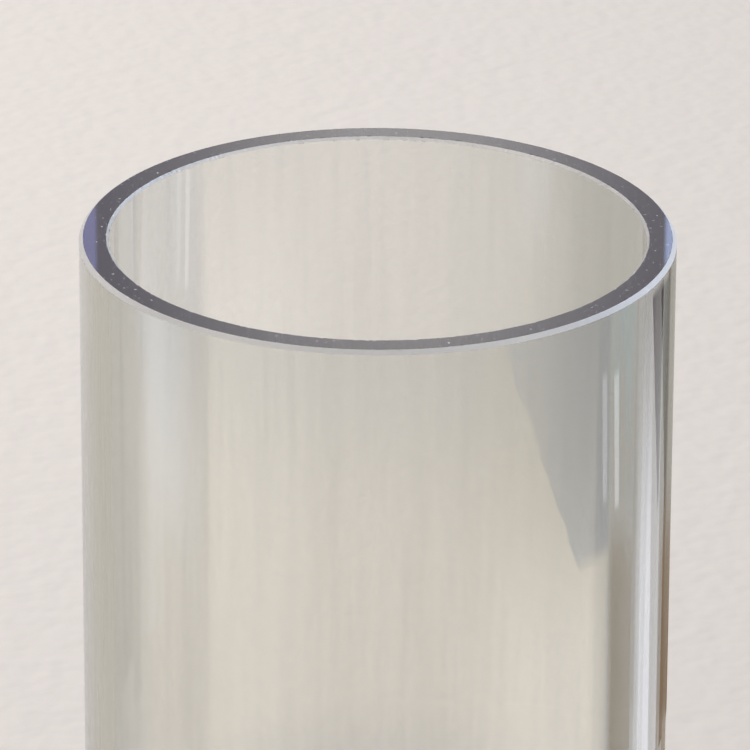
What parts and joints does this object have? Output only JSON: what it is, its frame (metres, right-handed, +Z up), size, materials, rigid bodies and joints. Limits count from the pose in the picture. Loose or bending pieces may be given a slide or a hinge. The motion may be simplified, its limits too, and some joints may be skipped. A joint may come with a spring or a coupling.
{
  "type": "cylinder vase",
  "caption": "Straight-sided cylinder vase of pale grey glass, with a square-cut polished rim and a flat bonded base, for standing cut stems in water.",
  "frame": {"origin": "centre of the underside, on the surface that the vase stands on", "axes": "+Z up along the cylinder's axis, out of the mouth. The vase is round, so X and Y are any two level directions at right angles"},
  "size_m": [0.1, 0.1, 0.25],
  "materials": {
    "grey_glass": "drawn wall, ground and polished ends",
    "clear_adhesive": "cured clear film"
  },
  "bodies": {
    "root": {"glass_tube": "grey_glass", "base_plate": "grey_glass", "bond_film": "clear_adhesive"}
  },
  "joints": []
}
